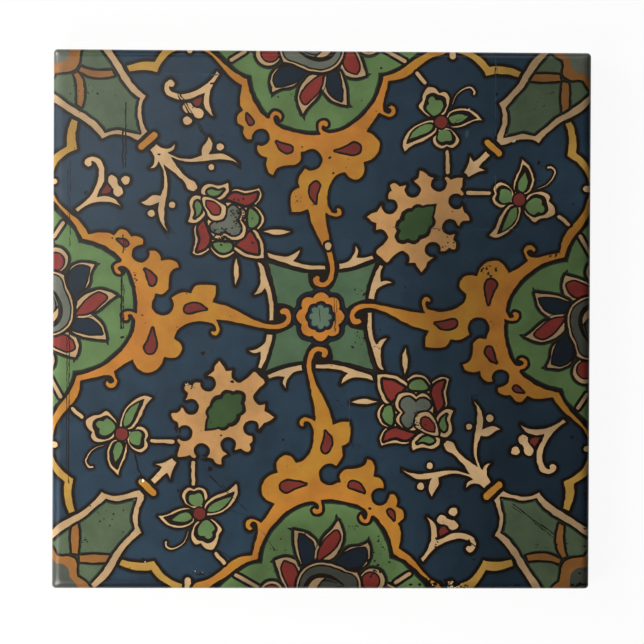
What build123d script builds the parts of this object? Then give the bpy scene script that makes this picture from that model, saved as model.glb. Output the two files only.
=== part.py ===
"""Square glazed ceramic tile: cushioned face edge, drawn-in foot and a keyed back.

The origin is the centre of the back plane, +Z goes out through the glazed face,
and X and Y run along the sides.
"""

import math
import os

from build123d import *

# Driving dimensions, in millimetres unless a comment says otherwise
edge_length = 108.0  # side of the square, seen from above
thickness = 6.4  # back plane to glazed face
corner_radius = 0.8  # upright corners of the square
cushion_width = 1.8  # rounded edge of the face, measured in from the side
cushion_drop = 1.2  # height that the rounded edge falls
cushion_steps = 4  # outlines that the rounded edge is drawn through, after the first
foot_setback = 0.5  # how far the sides draw in at the back
foot_height = 1.6  # height over which they draw in
key_size = 12.5  # side of one square pocket in the back
key_rib = 3.5  # rib left between two pockets
key_depth = 0.7  # depth of a pocket
key_corner = 1.0  # corner radius of a pocket at the back plane
key_draft = 20.0  # lean of the pocket walls, in degrees, so the press lets go
back_border = 6.0  # least plain border left round the pockets

# Values that follow from them
shoulder_height = thickness - cushion_drop
key_pitch = key_size + key_rib
keys_per_side = int((edge_length - 2 * back_border + key_rib) // key_pitch)

# Outlines of the foot and of the cushion, each as its inset from the side and its height
foot_outlines = [(foot_setback, 0), (0, foot_height)]
cushion_outlines = []
for step in range(cushion_steps + 1):
    turn = math.radians(90 * step / cushion_steps)
    inset = cushion_width * (1 - math.cos(turn))
    cushion_outlines.append((inset, shoulder_height + cushion_drop * math.sin(turn)))

with BuildPart() as tile:
    # Foot: the sides widen from the back plane
    for inset, height in foot_outlines:
        with BuildSketch(Plane.XY.offset(height)):
            side = edge_length - 2 * inset
            RectangleRounded(side, side, corner_radius)
    loft(ruled=True)

    # Upright sides
    with BuildSketch(Plane.XY.offset(foot_height)):
        RectangleRounded(edge_length, edge_length, corner_radius)
    extrude(amount=shoulder_height - foot_height)

    # Cushion: a quarter ellipse that runs out level into the glazed face
    for inset, height in cushion_outlines:
        with BuildSketch(Plane.XY.offset(height)):
            side = edge_length - 2 * inset
            RectangleRounded(side, side, corner_radius)
    loft()

    # Keys: a grid of drafted pockets that leaves the ribs and border in one plane
    with BuildSketch(Plane.XY):
        with GridLocations(key_pitch, key_pitch, keys_per_side, keys_per_side):
            RectangleRounded(key_size, key_size, key_corner)
    extrude(amount=key_depth, taper=key_draft, mode=Mode.SUBTRACT)

tile.part.label = "tile"

os.makedirs("parts", exist_ok=True)
export_step(tile.part, "parts/tile.step")
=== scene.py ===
import math

import bpy
import numpy as np
from mathutils import Matrix, Vector
from mathutils.geometry import delaunay_2d_cdt


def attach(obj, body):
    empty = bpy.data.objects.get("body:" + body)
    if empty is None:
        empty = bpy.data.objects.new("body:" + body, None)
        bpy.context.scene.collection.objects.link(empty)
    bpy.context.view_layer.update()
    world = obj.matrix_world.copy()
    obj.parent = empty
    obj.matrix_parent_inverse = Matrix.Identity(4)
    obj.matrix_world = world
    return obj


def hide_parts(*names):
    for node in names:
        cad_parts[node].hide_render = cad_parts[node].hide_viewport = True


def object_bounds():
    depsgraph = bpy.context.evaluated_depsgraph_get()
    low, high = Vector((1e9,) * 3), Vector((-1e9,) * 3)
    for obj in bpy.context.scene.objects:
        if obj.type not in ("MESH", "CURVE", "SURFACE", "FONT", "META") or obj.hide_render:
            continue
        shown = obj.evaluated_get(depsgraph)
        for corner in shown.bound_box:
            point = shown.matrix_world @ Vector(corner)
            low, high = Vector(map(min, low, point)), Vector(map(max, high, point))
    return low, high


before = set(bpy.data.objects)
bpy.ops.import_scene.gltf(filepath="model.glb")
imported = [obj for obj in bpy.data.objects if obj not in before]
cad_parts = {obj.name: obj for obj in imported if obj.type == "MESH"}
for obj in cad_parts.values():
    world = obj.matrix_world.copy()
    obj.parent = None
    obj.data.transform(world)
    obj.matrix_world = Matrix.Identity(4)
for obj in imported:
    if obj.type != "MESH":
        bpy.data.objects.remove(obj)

bl_info = {
    "name": "Arabesque glazed tile",
    "version": (1, 0, 0),
    "blender": (4, 5, 0),
    "location": "3D View > Sidebar > Tile",
    "description": "A square wall tile with a painted arabesque under a clear glaze",
    "category": "Add Mesh",
}

CAD_BOX = [list(corner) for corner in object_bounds()]
MM = 0.001

# Shape of the tile, in millimetres, as the CAD has it
CORNER_RADIUS = 0.8
CUSHION_WIDTH = 1.8
CUSHION_DROP = 1.2
FOOT_SETBACK = 0.5
FOOT_HEIGHT = 1.6
KEY_SIZE = 12.5
KEY_PITCH = 16.0
KEY_DEPTH = 0.7
KEY_CORNER = 1.0
KEY_DRAFT = 20.0
KEYS_PER_SIDE = 6

# Third value of a point of an outline: the curve turns a corner there
C = True

# Line widths of the painted drawing, in millimetres
LINE = 0.52
SPRIG = 0.6
THIN = 0.3
# Between two enamels: a line, and beside it the darker edge of the green
BESIDE_OCHRE = (("deep_green", 0.25), ("line", 0.55))
PETAL = (("line", 0.4), ("deep_green", 0.28))
THIN_ON_GREEN = (("line", 0.34), ("deep_green", 0.2))
ROUND_FIELD = (("line", 0.28), ("gap", 0.2), ("line", 0.3))
# Beside a line the ground enamel pools a little darker
POOL = 0.3
# How far a line covers the edge of the enamel inside it
COVERED = {"ochre": 0.12, "tan": 0.1}

PAINTS = [
    "line", "ground", "deep_ground", "green", "deep_green", "field", "leaf", "gear_leaf", "grey", "cream",
    "rim", "tan", "ochre", "yellow", "brown", "red", "maroon", "navy", "star", "gap", "pale", "white",
    "bisque",
]

# How much of an enamel has worn to dark flecks
FLECKED = {
    "green": 0.02, "field": 0.04, "leaf": 0.05, "gear_leaf": 0.03, "grey": 0.08, "star": 0.05, "navy": 0.03,
}
# Which enamels take their own painted shade and darkening across the tile
DARKENED = {
    "line": "pooled", "ground": "pooled", "deep_ground": "pooled", "navy": "pooled", "grey": "stained",
}
# How bright an enamel is where it lies thin and where it lies thick
THIN_COAT = 1.12
THICK_COAT = 0.84

# Pairs of a point and an edge that are measured at one time
AT_ONCE = 400000


def linear(hex_colour):
    """Linear RGBA of an sRGB hex colour."""
    value = hex_colour.lstrip("#")
    out = []
    for i in (0, 2, 4):
        c = int(value[i : i + 2], 16) / 255
        out.append(c / 12.92 if c <= 0.04045 else ((c + 0.055) / 1.055) ** 2.4)
    return (*out, 1.0)


def node(tree, kind, inputs=None, **settings):
    """Adds a node with its settings, values and links."""
    made = tree.nodes.new(kind)
    for key, value in settings.items():
        setattr(made, key, value)
    for key, value in (inputs or {}).items():
        if isinstance(value, bpy.types.NodeSocket):
            tree.links.new(value, made.inputs[key])
        else:
            made.inputs[key].default_value = value
    return made


# Curves of the drawing


def run_curve(points, step, periodic=False):
    """Samples one smooth run through its points. The last point is left out."""
    p = np.array(points, float)
    if len(p) == 2 and not periodic:
        count = max(1, int(np.ceil(np.hypot(*(p[1] - p[0])) / step)))
        t = np.arange(count)[:, None] / count
        return p[0] + (p[1] - p[0]) * t
    if periodic:
        p = np.vstack([p[-1], p, p[0], p[1]])
    gaps = np.sqrt(np.hypot(*np.diff(p, axis=0).T))[:, None]
    slopes = np.diff(p, axis=0) / gaps
    tangents = np.zeros_like(p)
    tangents[1:-1] = (slopes[:-1] * gaps[1:] + slopes[1:] * gaps[:-1]) / (gaps[1:] + gaps[:-1])
    tangents[0] = 1.5 * slopes[0] - 0.5 * tangents[1]
    tangents[-1] = 1.5 * slopes[-1] - 0.5 * tangents[-2]
    first, last = (1, len(p) - 2) if periodic else (0, len(p) - 1)
    out = []
    for i in range(first, last):
        count = max(1, int(np.ceil(gaps[i, 0] ** 2 / step)))
        t = np.arange(count)[:, None] / count
        h = gaps[i, 0]
        out.append(
            (2 * t**3 - 3 * t**2 + 1) * p[i]
            + (t**3 - 2 * t**2 + t) * h * tangents[i]
            + (3 * t**2 - 2 * t**3) * p[i + 1]
            + (t**3 - t**2) * h * tangents[i + 1]
        )
    return np.vstack(out)


def smooth(points, step=0.32):
    """Samples a closed outline, smooth through its points and broken at its corners."""
    corners = [i for i, p in enumerate(points) if len(p) == 3]
    flat = [p[:2] for p in points]
    if not corners:
        return run_curve(flat, step, periodic=True)
    turned = flat[corners[0] :] + flat[: corners[0]]
    breaks = [i - corners[0] for i in corners] + [len(flat)]
    turned.append(turned[0])
    return np.vstack([run_curve(turned[a : b + 1], step) for a, b in zip(breaks, breaks[1:])])


def open_curve(points, step=0.26):
    """Samples an open curve, smooth through its points."""
    return np.vstack([run_curve(points, step), np.array(points[-1][:2], float)])


def arc(cx, cy, radius, start, end, pieces=8):
    """Points of an arc, whose ends are corners. Angles in degrees."""
    out = []
    for i in range(pieces + 1):
        a = math.radians(start + (end - start) * i / pieces)
        point = (cx + radius * math.cos(a), cy + radius * math.sin(a))
        out.append((*point, C) if i in (0, pieces) else point)
    return out


def disc(cx, cy, radius, squash=1.0):
    """Outline of a round dot."""
    angles = np.linspace(0, 2 * math.pi, 25)[:-1]
    return np.stack([cx + radius * np.cos(angles), cy + radius * squash * np.sin(angles)], 1)


def ribbon(points, widths):
    """Outline of a stroke along a smooth path, with a width at each point and rounded ends."""
    path = open_curve(points)
    along = np.r_[0, np.cumsum(np.hypot(*np.diff(path, axis=0).T))]
    given = [0.0]
    for point in points[1:]:
        given.append(along[np.argmin(np.hypot(*(path - np.array(point[:2])).T))])
    half = np.interp(along, given, widths)[:, None] / 2
    way = np.gradient(path, axis=0)
    way /= np.hypot(*way.T)[:, None]
    side = np.stack([-way[:, 1], way[:, 0]], 1)
    caps = []
    for end, sign in ((-1, 1), (0, -1)):
        turn = np.radians([60, 20, -20, -60])[:, None]
        rounding = np.cos(turn) * way[end] + np.sin(turn) * side[end]
        caps.append(path[end] + half[end] * sign * rounding)
    return np.vstack([path + half * side, caps[0], (path - half * side)[::-1], caps[1]])


def falling(point):
    """Mirror in the diagonal that runs from the upper left to the lower right."""
    return (-point[1], -point[0], *point[2:])


def rising(point):
    """Mirror in the diagonal that runs from the lower left to the upper right."""
    return (point[1], point[0], *point[2:])


def pair(points, mirror):
    """A shape and its mirror image."""
    return points, [mirror(p) for p in points]


def both_sides(half, mirror):
    """A whole outline from the half that starts and ends on a diagonal."""
    back = [mirror(p) for p in reversed(half)]
    out = list(half)
    for point in back:
        known = any(math.dist(point[:2], p[:2]) < 1e-6 for p in (out[-1], out[0]))
        if not known:
            out.append(point)
    return out


# The drawing. Points are millimetres from the middle of the tile, in its top quarter.
# Each piece of it is a paint, an outline and the width of the black line round it.


def cartouche():
    """Ochre scrollwork that hangs from the edge down to the middle."""
    left_edge = [
        (-25.2, 55.6, C), (-24.2, 53.7), (-22.2, 52.4), (-20.3, 50.3), (-18.5, 48.2), (-16.05, 46.4, C),
        (-16.4, 44.2), (-16.35, 42.7), (-15.85, 41.4, C), (-17.0, 40.2), (-16.8, 38.9), (-15.6, 38.0, C),
        (-15.7, 36.7), (-14.9, 35.5), (-14.0, 35.5, C),
    ]
    left_eye = arc(-12.15, 36.05, 1.68, 170, -115)
    left_lobe = [
        (-12.9, 33.3), (-12.1, 32.25), (-10.9, 31.9, C), (-11.1, 30.3), (-10.5, 28.75), (-9.5, 28.4, C),
        (-8.8, 29.75), (-7.0, 30.35), (-5.2, 30.5), (-4.05, 31.6), (-4.2, 33.1, C),
    ]
    middle_eye = arc(-2.08, 31.6, 2.1, 128, -128)
    lower_lobe = [
        (-4.5, 28.3), (-4.7, 27.3), (-4.45, 26.0, C), (-5.85, 25.2), (-6.25, 23.5), (-6.0, 21.0, C),
        (-4.3, 20.95), (-2.7, 21.6, C),
    ]
    stem_left = [
        (-2.1, 19.2), (-1.2, 17.0), (0.1, 14.6), (1.2, 12.1), (1.7, 9.6), (1.2, 7.6), (0.5, 6.95),
        (-0.25, 7.2), (-0.25, 7.85), (-0.9, 8.3), (-1.6, 7.6), (-1.4, 6.5), (-0.3, 5.85), (1.2, 6.05),
        (2.4, 7.4),
    ]
    stem_right = [
        (2.75, 9.8), (2.3, 12.8), (1.65, 15.8), (1.1, 18.8), (0.9, 20.9, C), (1.8, 20.35), (3.1, 20.15),
        (4.1, 20.8), (4.0, 21.7), (3.3, 22.05), (3.0, 21.75, C), (3.1, 21.1), (2.2, 21.1), (1.5, 22.3),
        (1.25, 24.5), (1.8, 26.7), (3.2, 28.65), (4.7, 29.15, C),
    ]
    right_lobe = [
        (5.6, 28.0), (6.9, 27.65), (8.3, 28.6), (8.65, 30.2), (8.4, 31.2, C), (10.2, 31.9), (11.5, 33.7),
        (11.5, 35.6), (10.0, 37.15), (9.0, 37.55, C), (10.2, 39.5), (11.5, 41.3, C),
    ]
    right_curl = [
        (12.4, 40.85), (13.5, 40.45), (14.6, 41.1), (14.65, 42.3), (13.85, 42.95), (13.15, 42.5, C),
        (13.75, 41.9), (13.3, 41.25), (12.45, 41.7), (12.25, 43.0), (12.7, 45.0), (13.3, 47.8, C),
    ]
    right_edge = [
        (15.4, 48.1), (17.7, 49.25), (20.0, 51.3), (22.0, 52.6), (24.8, 53.65), (25.6, 55.6, C),
        (22.85, 55.6, C), (20.8, 53.7), (18.35, 52.25), (16.35, 50.65), (14.1, 49.35), (12.2, 48.75, C),
    ]
    inner_right = [
        (11.7, 46.75), (10.45, 43.7), (8.2, 40.75), (5.45, 38.5), (2.75, 37.3), (1.0, 37.2), (0.05, 38.0),
        (0.25, 38.6), (0.8, 38.3), (1.3, 38.7), (1.0, 39.5), (0.2, 39.7), (-0.6, 39.2), (-0.7, 38.0),
        (-0.3, 36.85, C),
    ]
    inner_left = [
        (-2.4, 36.75), (-5.25, 37.2), (-8.05, 38.0), (-9.3, 38.9), (-9.6, 39.9), (-9.2, 40.6),
        (-8.75, 40.2), (-8.4, 39.5), (-7.95, 40.2), (-8.5, 41.25), (-9.6, 41.45), (-10.3, 40.8),
        (-10.5, 40.0, C), (-11.0, 39.9, C), (-12.55, 41.65), (-14.05, 44.4), (-14.95, 47.8, C),
        (-16.7, 48.65), (-18.6, 50.0), (-20.4, 51.7), (-22.4, 53.5), (-23.85, 55.6, C),
    ]
    return (
        left_edge + left_eye + left_lobe + middle_eye + lower_lobe + stem_left + stem_right + right_lobe
        + right_curl + right_edge + inner_right + inner_left
    )


def cartouche_drops():
    """Red drops set in the ochre."""
    return [
        [(-15.0, 40.7, C), (-14.1, 39.8), (-13.7, 39.0), (-14.2, 38.6), (-14.8, 39.1)],
        [(-9.1, 35.2, C), (-7.4, 34.65), (-6.0, 34.1), (-6.0, 33.4), (-6.9, 33.0), (-8.0, 33.5)],
        [(2.6, 33.55, C), (5.0, 34.4), (6.6, 35.2), (7.6, 34.6), (7.6, 33.5), (6.4, 32.9), (4.4, 33.1)],
        [(-1.15, 22.9, C), (-2.2, 24.3), (-2.35, 25.6), (-1.8, 26.9), (-1.0, 27.25), (-0.45, 26.6),
         (-0.9, 24.6)],
    ]


def palmette_field():
    """Green field behind the half palmette at the edge."""
    return [
        (-22.2, 55.6, C), (-20.9, 54.0), (-19.2, 52.2), (-17.5, 50.5), (-16.0, 49.3), (-13.95, 48.65, C),
        (-13.5, 46.2), (-12.3, 43.4), (-10.8, 41.2), (-9.0, 39.5), (-6.5, 38.5), (-3.5, 37.8),
        (0.5, 37.9), (3.2, 38.45), (5.4, 39.6), (7.7, 41.7), (9.7, 44.4), (10.8, 47.4), (11.1, 49.65, C),
        (13.2, 50.0), (15.3, 51.0), (17.6, 52.7), (20.6, 55.6, C),
    ]


def palmette(add):
    """Half palmette that the tile's edge cuts through."""

    def blade(paint, outline):
        add(paint, inset(outline, -0.14), 0.34)

    add("rim", ribbon([(-18.1, 51.55), (-15.4, 53.35)], [0.8, 0.8]), LINE)
    add("rim", ribbon([(16.5, 51.85), (12.0, 54.4)], [0.85, 0.75]), LINE)
    add("rim", ribbon([(-15.2, 54.6), (-14.0, 53.9), (-12.7, 53.6)], [0.5, 0.5, 0.4]), LINE)
    # Dark points that the brush left beyond the tips of the petals
    for tip, point in (
        ((-9.8, 45.6), (-10.1, 44.0)), ((-3.9, 41.4), (-3.4, 39.5)), ((4.6, 43.0), (6.2, 42.45)),
        ((8.3, 48.9), (9.8, 49.25)),
    ):
        add("line", ribbon([tip, point], [1.5, 0.12]), 0)
    # Petals, each a cream rim round a dark or red blade
    add(
        "rim",
        [(-8.1, 50.5, C), (-9.4, 49.7), (-10.2, 48.0), (-10.15, 46.5), (-9.9, 45.2, C), (-8.2, 46.0),
         (-6.2, 46.3), (-4.6, 47.5), (-3.0, 49.3, C), (-5.0, 50.3)],
        PETAL,
    )
    blade(
        "navy",
        [(-7.6, 50.15), (-5.6, 50.2), (-3.3, 49.4, C), (-5.0, 47.75), (-7.0, 46.85), (-9.1, 46.5, C),
         (-9.45, 48.0), (-8.6, 49.6)],
    )
    add(
        "rim",
        [(3.7, 49.9), (4.8, 48.75), (6.6, 48.3), (8.7, 48.9, C), (8.15, 50.9), (7.4, 53.0),
         (6.5, 55.6, C), (4.6, 55.6, C), (4.3, 52.8), (3.8, 51.2)],
        PETAL,
    )
    blade(
        "red",
        [(4.4, 51.3), (5.2, 49.9), (6.8, 49.3, C), (7.3, 50.5), (6.8, 52.1), (5.9, 54.0), (5.2, 55.6, C),
         (4.6, 53.6)],
    )
    add(
        "rim",
        [(0.9, 48.9), (0.15, 48.0), (0.2, 46.0), (0.9, 44.7), (2.4, 43.5), (5.0, 42.8, C), (4.85, 45.2),
         (4.4, 47.7), (3.6, 49.6, C)],
        PETAL,
    )
    blade(
        "navy",
        [(1.6, 49.4, C), (1.05, 47.6), (1.6, 45.3), (3.8, 43.75, C), (3.75, 46.4), (3.0, 49.5, C)],
    )
    add(
        "rim",
        [(-2.2, 48.75), (-3.5, 47.6), (-4.3, 46.3), (-4.85, 44.4), (-4.7, 43.0), (-3.8, 40.9, C),
         (-2.9, 42.2), (-1.2, 44.0), (-0.2, 45.8), (0.1, 48.4, C)],
        PETAL,
    )
    add("rim", [(-0.1, 48.4, C), (-0.15, 46.6), (0.2, 45.7, C), (0.55, 46.6), (0.8, 48.5, C)], 0)
    blade(
        "red",
        [(0.0, 48.7, C), (-1.6, 47.6), (-3.4, 45.8), (-4.1, 44.3), (-3.4, 43.0), (-2.2, 44.0),
         (-1.0, 45.3), (-0.2, 47.0)],
    )
    # Ring and calyx at the cut
    add("rim", disc(-10.75, 53.0, 2.5, 1.0), PETAL)
    add("red", disc(-10.4, 53.05, 1.7, 1.0), THIN)
    add("rim", disc(9.3, 55.0, 2.15, 0.9), PETAL)
    add("red", disc(9.35, 55.2, 1.45, 0.9), THIN)
    add(
        "rim",
        [(-8.6, 55.6, C), (-8.35, 53.0), (-7.7, 51.3, C), (-6.1, 51.05), (-3.8, 50.0), (-1.2, 49.4),
         (1.0, 49.5), (3.0, 50.7), (4.15, 52.6), (4.5, 55.6, C)],
        LINE,
    )
    add(
        "grey",
        [(-7.6, 55.6, C), (-7.65, 53.0), (-6.9, 51.95), (-5.0, 51.3), (-2.6, 50.35), (0.0, 50.0),
         (2.1, 50.8), (3.5, 52.7), (3.95, 55.6, C)],
        THIN,
    )
    swirl = [(-5.0, 53.9), (-3.0, 52.5), (-0.6, 51.9), (1.6, 52.5), (3.0, 54.6)]
    add("line", ribbon(swirl, [0.3, 0.75, 0.9, 0.75, 0.5]), 0)
    add("line", ribbon([(-6.6, 55.0), (-4.6, 54.4), (-2.4, 54.7)], [0.3, 0.7, 0.3]), 0)
    add("line", ribbon([(-3.6, 53.5), (-1.2, 52.9), (0.2, 53.6), (0.6, 55.6)], [0.2, 0.4, 0.5, 0.5]), 0)
    fold = [(-1.3, 52.4, C), (0.4, 52.5), (1.6, 53.4), (2.4, 55.6, C), (0.5, 55.6, C), (-0.1, 53.6)]
    add("rim", fold, THIN)


def corner_leaf(add, mirror, rim, hollow, bar, scallop, spandrel):
    """Leaf in a corner: a rim, a green blade, brown bands and a grey spandrel."""
    add("rim", both_sides(rim, mirror), LINE)
    for paint, depth in (("line", -0.2), ("deep_green", 0.2), ("leaf", 0.48)):
        add(paint, inset(both_sides(hollow, mirror), depth), 0)
    for side in pair(bar, mirror):
        add("brown", side, THIN_ON_GREEN)
    add("brown", both_sides(scallop, mirror), THIN_ON_GREEN)
    add("grey", both_sides(spandrel, mirror), 0)


def corner_leaf_upper_left(add):
    """Leaf in the upper left corner, with its stalk towards the middle."""
    rim = [
        (-57, 57, C), (-43.4, 55.6, C), (-41.9, 52.9), (-40.2, 50.3), (-38.6, 47.7), (-36.8, 45.3),
        (-35.1, 43.9, C), (-35.95, 41.8), (-35.8, 39.1), (-34.9, 36.7, C),
    ]
    hollow = [
        (-57, 57, C), (-45.4, 55.6, C), (-43.8, 52.9), (-42.1, 50.6), (-40.8, 48.4), (-39.3, 46.0),
        (-37.5, 44.0), (-36.4, 43.3, C), (-37.0, 40.7), (-36.5, 38.2), (-36.2, 36.2, C),
    ]
    scallop = [
        (-57, 57, C), (-46.2, 55.6, C), (-47.0, 54.0), (-48.1, 53.1, C), (-48.3, 51.6), (-48.5, 50.2),
        (-49.1, 49.1),
    ]
    spandrel = [(-57, 57, C), (-50.3, 55.6, C), (-50.25, 53.2), (-50.4, 51.7), (-50.95, 50.95)]
    bar = [
        (-48.4, 48.7, C), (-48.0, 49.5, C), (-46.4, 49.0), (-44.0, 48.8), (-41.9, 48.95, C),
        (-41.4, 47.95, C), (-44.0, 47.4), (-46.4, 47.65),
    ]
    corner_leaf(add, falling, rim, hollow, bar, scallop, spandrel)
    add("ochre", ribbon([(-36.0, 33.6), (-33.4, 36.0)], [1.5, 1.55]), LINE)


def corner_leaf_upper_right(add):
    """Leaf in the upper right corner, with its stalk towards the middle."""
    rim = [
        (57, 57, C), (45.6, 55.6, C), (43.9, 54.0), (42.0, 52.2), (40.6, 49.9), (39.3, 47.5),
        (37.5, 45.3), (35.4, 43.5, C), (36.15, 41.4), (35.95, 39.0), (35.1, 36.8), (35.0, 35.9, C),
    ]
    hollow = [
        (57, 57, C), (47.0, 55.6, C), (45.4, 53.6), (43.4, 51.3), (42.0, 49.1), (40.6, 46.9),
        (38.8, 44.8), (36.9, 42.6, C), (37.4, 40.4), (36.95, 38.3), (36.5, 36.5, C),
    ]
    scallop = [
        (57, 57, C), (45.0, 55.6, C), (46.2, 53.6), (48.1, 52.3, C), (48.3, 51.2), (48.2, 49.8),
        (48.75, 48.75),
    ]
    spandrel = [(57, 57, C), (47.6, 55.6, C), (48.4, 53.9), (49.75, 52.3, C), (49.8, 51.3), (50.35, 50.35)]
    bar = [(41.7, 48.1, C), (42.5, 49.4, C), (45.0, 49.5), (47.6, 49.3, C), (47.8, 48.1, C), (45.0, 47.9)]
    corner_leaf(add, rising, rim, hollow, bar, scallop, spandrel)
    add("ochre", ribbon([(33.1, 35.5), (35.5, 33.3)], [1.45, 1.45]), LINE)


def edge_bands(add):
    """Yellow bands that run from the corner leaves to the pins at the edge."""
    add(
        "yellow",
        [(-38.9, 49.95, C), (-36.2, 50.8), (-34.8, 50.95), (-33.4, 50.85, C), (-32.4, 52.5),
         (-30.2, 55.6, C), (-26.8, 55.6, C), (-28.2, 53.75), (-30.3, 52.6), (-32.0, 50.6),
         (-32.9, 48.8, C), (-35.2, 49.1), (-38.5, 48.7, C)],
        SPRIG,
    )
    add(
        "yellow",
        [(27.0, 53.75, C), (29.4, 52.8), (31.5, 51.0), (32.8, 49.1, C), (35.0, 49.45), (37.6, 49.25),
         (39.3, 48.8, C), (39.8, 49.9, C), (37.6, 50.75), (34.8, 51.05), (33.4, 50.9, C), (32.0, 52.6),
         (29.8, 54.1), (28.4, 55.6, C), (26.9, 55.6, C)],
        SPRIG,
    )
    add("cream", ribbon([(-26.4, 55.6), (-26.4, 53.3)], [1.2, 1.2]), LINE)
    add("cream", ribbon([(26.1, 55.6), (26.1, 52.95)], [1.3, 1.3]), LINE)


def lily(add):
    """Curled sprig with a red bud beside the cartouche."""
    add(
        "cream",
        [(-20.9, 49.2, C), (-22.0, 47.7), (-24.0, 45.9), (-26.4, 44.8), (-28.8, 44.5), (-30.3, 45.3),
         (-30.5, 45.95), (-29.8, 45.9), (-29.4, 46.6), (-30.1, 47.35), (-31.0, 46.9), (-31.5, 45.6),
         (-30.9, 44.3), (-29.4, 43.45), (-26.8, 43.4), (-24.8, 44.3), (-23.35, 44.8, C), (-23.6, 43.0),
         (-23.0, 41.2), (-21.5, 40.1, C), (-22.3, 41.8), (-22.4, 44.4), (-21.7, 46.7), (-20.4, 48.6, C)],
        SPRIG,
    )
    add("maroon", [(-24.1, 44.0, C), (-24.1, 42.7), (-24.9, 41.8), (-26.0, 42.9, C), (-25.2, 43.5)], 0.4)
    berries = [
        [(-27.9, 41.9), (-27.3, 42.6), (-26.2, 42.6), (-25.6, 41.7), (-26.0, 40.9), (-27.1, 40.8)],
        [(-25.7, 41.0), (-25.0, 41.6), (-24.0, 41.5), (-23.5, 40.6), (-24.2, 39.7), (-25.3, 39.9)],
    ]
    for berry in berries:
        add("cream", berry, 0.45)
    add("cream", ribbon([(-26.5, 41.6), (-24.8, 40.75)], [1.3, 1.3]), 0)
    add("cream", [(-27.7, 39.3), (-27.0, 40.0), (-25.9, 39.3), (-26.3, 38.4), (-27.3, 38.3)], SPRIG)


def butterfly_flower(add):
    """Four-petalled green flower with a red eye."""
    add("cream", ribbon([(18.95, 49.45), (20.5, 47.6)], [0.8, 0.75]), LINE)
    feeler = [(26.1, 43.2), (26.9, 45.2), (28.6, 46.5), (29.7, 46.65), (30.5, 46.0), (30.45, 45.35)]
    add("cream", ribbon(feeler, [0.15, 0.2, 0.3, 0.4, 0.45, 0.4]), 0.4)
    petals = [
        (
            [(21.6, 40.6), (20.2, 41.6), (19.3, 42.8), (20.0, 43.9), (20.3, 45.4), (21.2, 46.75),
             (22.6, 46.5), (23.5, 45.5, C), (24.6, 45.7), (25.5, 44.3), (25.2, 42.6), (24.4, 41.2)],
            [(24.3, 41.8), (24.9, 43.2), (24.4, 44.6), (23.2, 45.0, C), (22.2, 45.4), (21.1, 44.9),
             (20.6, 43.5, C), (20.3, 42.5), (21.2, 41.2), (22.2, 40.6)],
            [(22.3, 40.9), (20.8, 42.5), (21.4, 43.3, C), (21.3, 44.2), (22.1, 44.7), (22.8, 44.0, C),
             (23.8, 44.0), (24.2, 42.9), (23.3, 41.3)],
        ),
        (
            [(25.0, 41.0), (26.0, 42.0), (28.0, 42.5), (30.2, 41.9), (32.1, 40.1, C), (30.4, 39.8),
             (28.5, 38.9), (26.6, 38.5), (25.2, 38.9)],
            [(25.5, 38.95), (27.2, 39.0), (29.4, 39.85), (31.0, 40.4, C), (29.3, 41.75), (27.2, 41.9),
             (25.4, 41.0)],
            [(25.4, 40.4), (27.2, 41.2), (29.3, 40.8, C), (27.6, 39.6), (26.0, 39.5)],
        ),
        (
            [(22.9, 37.7), (22.25, 36.2), (22.9, 34.7), (24.1, 34.3), (25.0, 34.75, C), (26.2, 34.4),
             (27.4, 35.7), (26.8, 37.3), (25.6, 38.2), (24.0, 38.6)],
            [(25.8, 37.8), (26.7, 36.2), (26.1, 35.15), (24.9, 35.2, C), (23.8, 34.95), (22.9, 36.1),
             (23.4, 37.7)],
            [(23.6, 37.9), (23.2, 36.4), (23.9, 35.6), (24.8, 35.8, C), (25.9, 36.0), (25.8, 37.3),
             (24.7, 38.1)],
        ),
        (
            [(22.6, 39.8), (21.0, 39.8), (19.0, 39.0), (17.2, 37.4), (16.2, 35.2), (16.6, 33.5, C),
             (18.2, 34.9), (20.6, 35.9), (22.8, 37.8)],
            [(22.4, 39.3), (20.6, 39.25), (18.4, 38.0), (16.9, 35.2, C), (19.0, 36.05), (21.0, 36.9),
             (22.5, 38.2)],
            [(22.2, 39.0), (20.5, 39.05), (18.6, 37.8), (17.5, 36.2, C), (19.6, 36.9), (21.7, 38.0)],
        ),
    ]
    for rim, _, _ in petals:
        add("cream", rim, LINE)
    for _, hollow, blade in petals:
        add("line", inset(hollow, -0.13), 0)
        add("green", blade, 0)
    add("maroon", disc(23.85, 39.6, 1.25), 0.32)


def three_stem_sprig(add):
    """Sprig with three stems that leads from the upper left leaf to the bud flower."""
    half = [
        (-33.65, 33.65), (-33.0, 34.3, C), (-31.5, 33.4), (-30.3, 33.5), (-29.3, 34.3, C), (-29.6, 33.2),
        (-30.7, 32.6, C), (-29.2, 31.75), (-26.4, 31.4), (-23.8, 32.2, C), (-23.9, 33.6), (-22.9, 35.1),
        (-22.5, 36.0, C), (-21.8, 34.6), (-22.5, 32.4, C), (-20.0, 32.6), (-18.4, 32.0), (-16.4, 30.5, C),
        (-18.3, 31.3), (-20.6, 31.4), (-24.2, 30.9), (-27.2, 30.8), (-30.1, 31.6, C), (-28.2, 29.0),
        (-26.6, 27.4), (-25.2, 26.6), (-24.8, 25.5), (-25.15, 25.15),
    ]
    add("cream", both_sides(half, falling), SPRIG)
    for berries in pair([(-20.25, 33.95), (-22.0, 29.8)], falling):
        for at, radius in zip(berries, (0.75, 0.65)):
            add("cream", disc(*at, radius), 0.4)


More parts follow.
